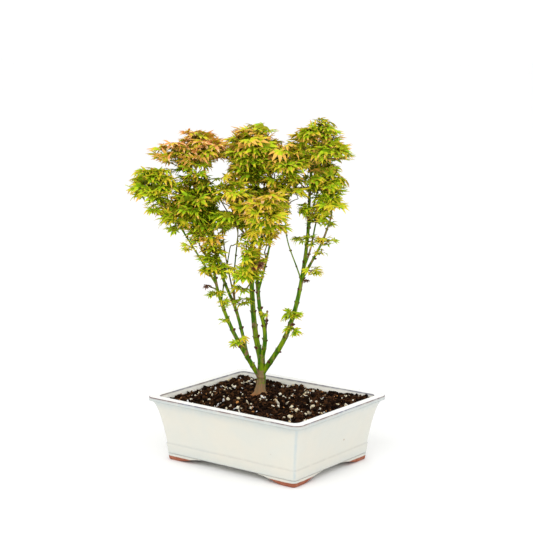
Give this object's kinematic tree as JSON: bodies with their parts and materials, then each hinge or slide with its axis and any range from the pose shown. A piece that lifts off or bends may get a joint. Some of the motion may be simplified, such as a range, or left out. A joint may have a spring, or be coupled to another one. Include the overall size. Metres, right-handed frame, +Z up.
{
  "type": "potted japanese maple",
  "caption": "Young Japanese maple with slender upright stems, tiers of palmate leaves and a dead stub, growing in a flared rectangular glazed pot on corner feet.",
  "frame": {"origin": "on the ground, under the middle of the whole object's bounding box", "axes": "+Z up; X along the pot's long side, Y along its short side; the crown is widest along a line turned 36.5 degrees from X towards Y"},
  "size_m": [0.2824, 0.261, 0.4457],
  "materials": {
    "cream_glaze": "gloss",
    "bare_clay": "matte",
    "peat_soil": "matte",
    "tan_bark": "matte",
    "green_bark": "satin",
    "dead_wood": "matte",
    "leaf_rose": "satin",
    "leaf_amber": "satin",
    "leaf_straw": "satin",
    "leaf_lime": "satin",
    "leaf_green": "satin",
    "leaf_deep": "satin",
    "leaf_pale": "satin"
  },
  "bodies": {
    "root": {"pot": "cream_glaze", "foot_back_left": "bare_clay", "foot_back_right": "bare_clay", "foot_front_left": "bare_clay", "foot_front_right": "bare_clay", "soil": "peat_soil", "trunk": "tan_bark", "left_outer_stem": "green_bark", "left_inner_stem": "green_bark", "far_left_stem": "green_bark", "left_whip": "green_bark", "inner_whip": "green_bark", "centre_stem": "green_bark", "middle_stem": "green_bark", "front_stem": "green_bark", "dead_stub": "dead_wood", "right_stem": "green_bark", "slender_stem": "green_bark", "right_twin_stem": "green_bark", "right_outer_stem": "green_bark", "back_left_stem": "green_bark", "back_centre_stem": "green_bark", "back_right_stem": "green_bark", "foliage_left_top": "leaf_rose", "foliage_left_shoulder": "leaf_rose", "foliage_far_left": "leaf_green", "foliage_left_low": "leaf_green", "foliage_left_heart": "leaf_deep", "foliage_left_column": "leaf_deep", "foliage_centre_top": "leaf_amber", "foliage_heart": "leaf_deep", "foliage_centre_left": "leaf_green", "foliage_front": "leaf_straw", "foliage_front_skirt": "leaf_straw", "foliage_middle_top": "leaf_amber", "foliage_middle_right": "leaf_lime", "foliage_right_top": "leaf_amber", "foliage_right_shoulder": "leaf_amber", "foliage_right_left": "leaf_lime", "foliage_right_mid": "leaf_green", "foliage_right_low": "leaf_lime", "foliage_right_inner": "leaf_deep", "foliage_right_twin": "leaf_green", "foliage_back_left": "leaf_rose", "foliage_back_left_low": "leaf_green", "foliage_back_centre": "leaf_amber", "foliage_back_middle": "leaf_lime", "foliage_back_column": "leaf_deep", "foliage_back_right": "leaf_amber", "sprig_left": "leaf_lime", "tuft_left": "leaf_green", "tuft_left_fork": "leaf_lime", "tuft_centre": "leaf_lime", "tuft_right_upper": "leaf_lime", "tuft_right_lower": "leaf_lime", "tuft_right_fork": "leaf_green", "tuft_crossing": "leaf_green", "tuft_whip": "leaf_pale"}
  },
  "joints": []
}
